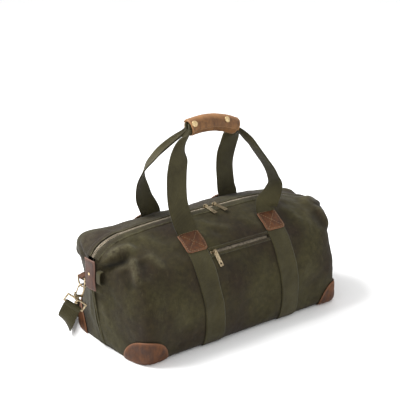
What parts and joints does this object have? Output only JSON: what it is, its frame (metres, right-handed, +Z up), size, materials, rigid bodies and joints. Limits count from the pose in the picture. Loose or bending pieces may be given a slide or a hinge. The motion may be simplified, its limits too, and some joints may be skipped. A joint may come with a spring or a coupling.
{
  "type": "weekender bag",
  "caption": "Soft canvas travel bag with a zipped top, joined webbing handles with a leather grip, a zipped front pocket and a clip-on shoulder strap.",
  "frame": {"origin": "middle of the base, on the surface the bag stands on", "axes": "+X along the bag, -Y is the front with the zip pocket, +Z up"},
  "size_m": [0.6844, 0.3153, 0.451],
  "materials": {
    "waxed_canvas": "matt waxed canvas, mottled olive brown",
    "webbing": "matt ribbed cotton webbing, olive",
    "lining_cotton": "matt cotton twill",
    "board": "matt stiffener board",
    "tan_leather": "oiled pull-up leather, tan",
    "grip_leather": "oiled leather, tan brown, slightly worn",
    "dark_leather": "oiled leather, dark brown",
    "zip_tape": "matt woven zip tape",
    "zip_teeth": "dull antique metal",
    "antique_brass": "antique brass, satin",
    "stud_brass": "polished pale brass"
  },
  "bodies": {
    "bag": {"back_handle_left_leg": "webbing", "back_handle_right_leg": "webbing", "back_left_corner_patch": "tan_leather", "back_left_handle_patch": "tan_leather", "back_left_webbing_run": "webbing", "back_panel": "waxed_canvas", "back_right_corner_patch": "tan_leather", "back_right_handle_patch": "tan_leather", "back_right_webbing_run": "webbing", "base_board": "board", "base_panel": "waxed_canvas", "front_handle_left_leg": "webbing", "front_handle_right_leg": "webbing", "front_left_corner_patch": "tan_leather", "front_left_handle_patch": "tan_leather", "front_left_webbing_run": "webbing", "front_panel": "waxed_canvas", "front_right_corner_patch": "tan_leather", "front_right_handle_patch": "tan_leather", "front_right_webbing_run": "webbing", "left_end_back_half": "waxed_canvas", "left_end_front_half": "waxed_canvas", "left_end_tab": "dark_leather", "left_ring_loop": "dark_leather", "left_strap_ring": "antique_brass", "lining": "lining_cotton", "main_zip_tapes": "zip_tape", "main_zip_teeth_back": "zip_teeth", "main_zip_teeth_front": "zip_teeth", "pocket_bag": "lining_cotton", "pocket_zip_tape": "zip_tape", "pocket_zip_teeth": "zip_teeth", "right_end_back_half": "waxed_canvas", "right_end_front_half": "waxed_canvas", "right_end_tab": "dark_leather", "right_ring_loop": "dark_leather", "right_strap_ring": "antique_brass", "strap_webbing": "webbing", "tab_rivets": "stud_brass", "webbing_tabs": "webbing"},
    "left_zip_slider": {"left_zip_slider": "antique_brass"},
    "left_zip_pull": {"left_zip_pull": "antique_brass"},
    "right_zip_slider": {"right_zip_slider": "antique_brass"},
    "right_zip_pull": {"right_zip_pull": "antique_brass"},
    "pocket_zip_slider": {"pocket_zip_slider": "antique_brass"},
    "pocket_zip_pull": {"pocket_zip_pull": "antique_brass"},
    "grip": {"grip_wrap": "grip_leather", "grip_snap_posts": "stud_brass", "handles_in_grip": "webbing"},
    "grip_flap": {"grip_flap": "grip_leather", "grip_snap_caps": "stud_brass"},
    "left_d_ring": {"left_d_ring": "antique_brass"},
    "right_d_ring": {"right_d_ring": "antique_brass"},
    "left_hook": {"left_hook": "antique_brass"},
    "right_hook": {"right_hook": "antique_brass"},
    "left_gate": {"left_hook_gate": "antique_brass"},
    "right_gate": {"right_hook_gate": "antique_brass"},
    "strap_adjuster": {"strap_adjuster": "antique_brass"}
  },
  "joints": [
    {"name": "left_zip_slide", "type": "slide", "parent": "bag", "child": "left_zip_slider", "axis": [1, 0, 0], "range_m": [-0.13, 0]},
    {"name": "left_pull_swing", "type": "hinge", "parent": "left_zip_slider", "child": "left_zip_pull", "pos_m": [-0.008, 0, 0.2487], "axis": [-1, 0, 0], "range_deg": [0, 155]},
    {"name": "right_zip_slide", "type": "slide", "parent": "bag", "child": "right_zip_slider", "axis": [1, 0, 0], "range_m": [0, 0.124]},
    {"name": "right_pull_swing", "type": "hinge", "parent": "right_zip_slider", "child": "right_zip_pull", "pos_m": [0.016, 0, 0.2487], "axis": [-1, 0, 0], "range_deg": [0, 155]},
    {"name": "pocket_zip_slide", "type": "slide", "parent": "bag", "child": "pocket_zip_slider", "axis": [1, 0, 0], "range_m": [0, 0.136]},
    {"name": "pocket_pull_swing", "type": "hinge", "parent": "pocket_zip_slider", "child": "pocket_zip_pull", "pos_m": [-0.068, -0.10673, 0.19227], "axis": [-1, 0, 0], "range_deg": [0, 150]},
    {"name": "handles_collapse", "type": "slide", "parent": "bag", "child": "grip", "axis": [0, 0, 1], "range_m": [-0.14, 0], "deforming": ["front_handle_left_leg", "front_handle_right_leg", "back_handle_left_leg", "back_handle_right_leg"]},
    {"name": "grip_flap_open", "type": "hinge", "parent": "grip", "child": "grip_flap", "pos_m": [0.00985, 0.01326, 0.42975], "axis": [-0.9918, 0, 0.1276], "range_deg": [0, 110]},
    {"name": "left_ring_swing", "type": "hinge", "parent": "bag", "child": "left_d_ring", "pos_m": [-0.303, 0.033, 0.15], "axis": [0, 1, 0], "range_deg": [-4, 4]},
    {"name": "right_ring_swing", "type": "hinge", "parent": "bag", "child": "right_d_ring", "pos_m": [0.303, 0.033, 0.15], "axis": [0, 1, 0], "range_deg": [-4, 4]},
    {"name": "left_hook_swivel", "type": "hinge", "parent": "bag", "child": "left_hook", "pos_m": [-0.31203, 0.04011, 0.09793], "axis": [0.2688, -0.2117, 0.9396], "range_deg": [-20, 20]},
    {"name": "right_hook_swivel", "type": "hinge", "parent": "bag", "child": "right_hook", "pos_m": [0.31203, 0.04011, 0.09793], "axis": [0.2688, 0.2117, -0.9396], "range_deg": [-20, 20]},
    {"name": "left_gate_open", "type": "hinge", "parent": "left_hook", "child": "left_gate", "pos_m": [-0.31667, 0.03641, 0.11438], "axis": [0, 0.9755, 0.2198], "range_deg": [0, 25], "stiffness_Nm_per_rad": 0.02, "springref_deg": -11.46},
    {"name": "right_gate_open", "type": "hinge", "parent": "right_hook", "child": "right_gate", "pos_m": [0.31667, 0.03641, 0.11438], "axis": [0, -0.9755, -0.2198], "range_deg": [0, 25], "stiffness_Nm_per_rad": 0.02, "springref_deg": -11.46},
    {"name": "adjuster_slide", "type": "slide", "parent": "bag", "child": "strap_adjuster", "axis": [1, 0, 0], "range_m": [-0.045, 0.04]}
  ]
}
